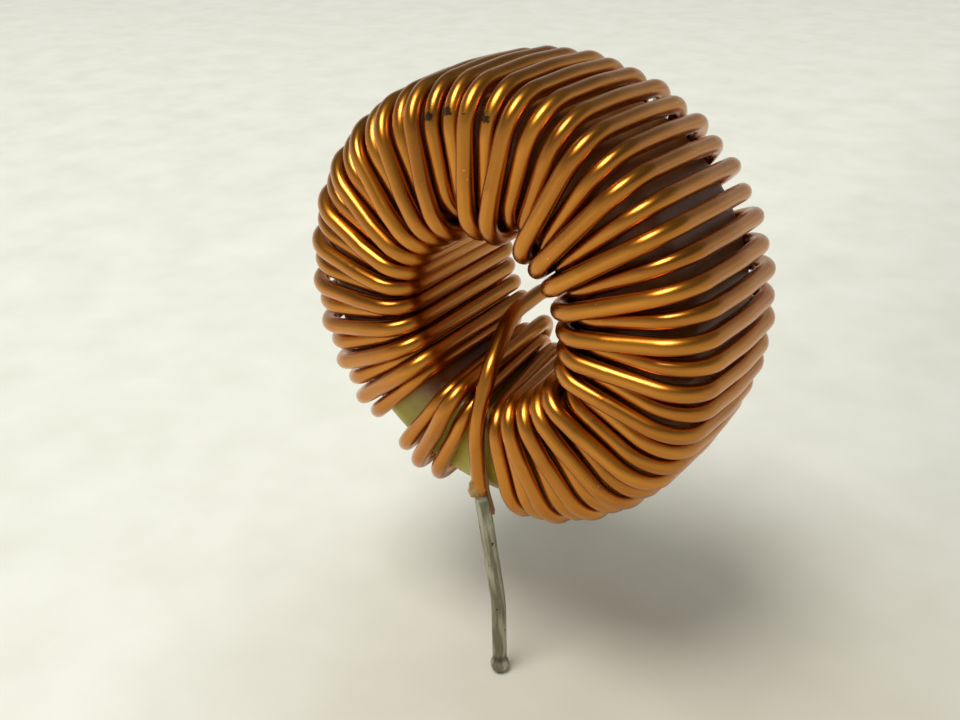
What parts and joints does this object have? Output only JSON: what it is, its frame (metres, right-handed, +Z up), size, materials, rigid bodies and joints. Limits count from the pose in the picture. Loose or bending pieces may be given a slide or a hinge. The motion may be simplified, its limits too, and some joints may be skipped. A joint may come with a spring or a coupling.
{
  "type": "toroidal inductor",
  "caption": "Upright toroidal inductor: amber enamelled copper wire wound round a coated iron-powder ring, on two tinned wire leads that reach down to the board.",
  "frame": {"origin": "middle of the outline at its base, level with the tips of the two leads", "axes": "+Z up from the lead tips to the top of the ring, the ring's axis along Y, its front face and the front lead towards -Y"},
  "size_m": [0.0302, 0.0226, 0.043],
  "materials": {
    "core_coating": "satin yellow-olive coating on the iron-powder ring",
    "enamelled_copper": "glossy clear amber enamel over copper",
    "solder": "dull grey solder with darker streaks"
  },
  "bodies": {
    "root": {"core": "core_coating", "winding": "enamelled_copper", "front_lead_solder": "solder", "back_lead_solder": "solder"}
  },
  "joints": []
}
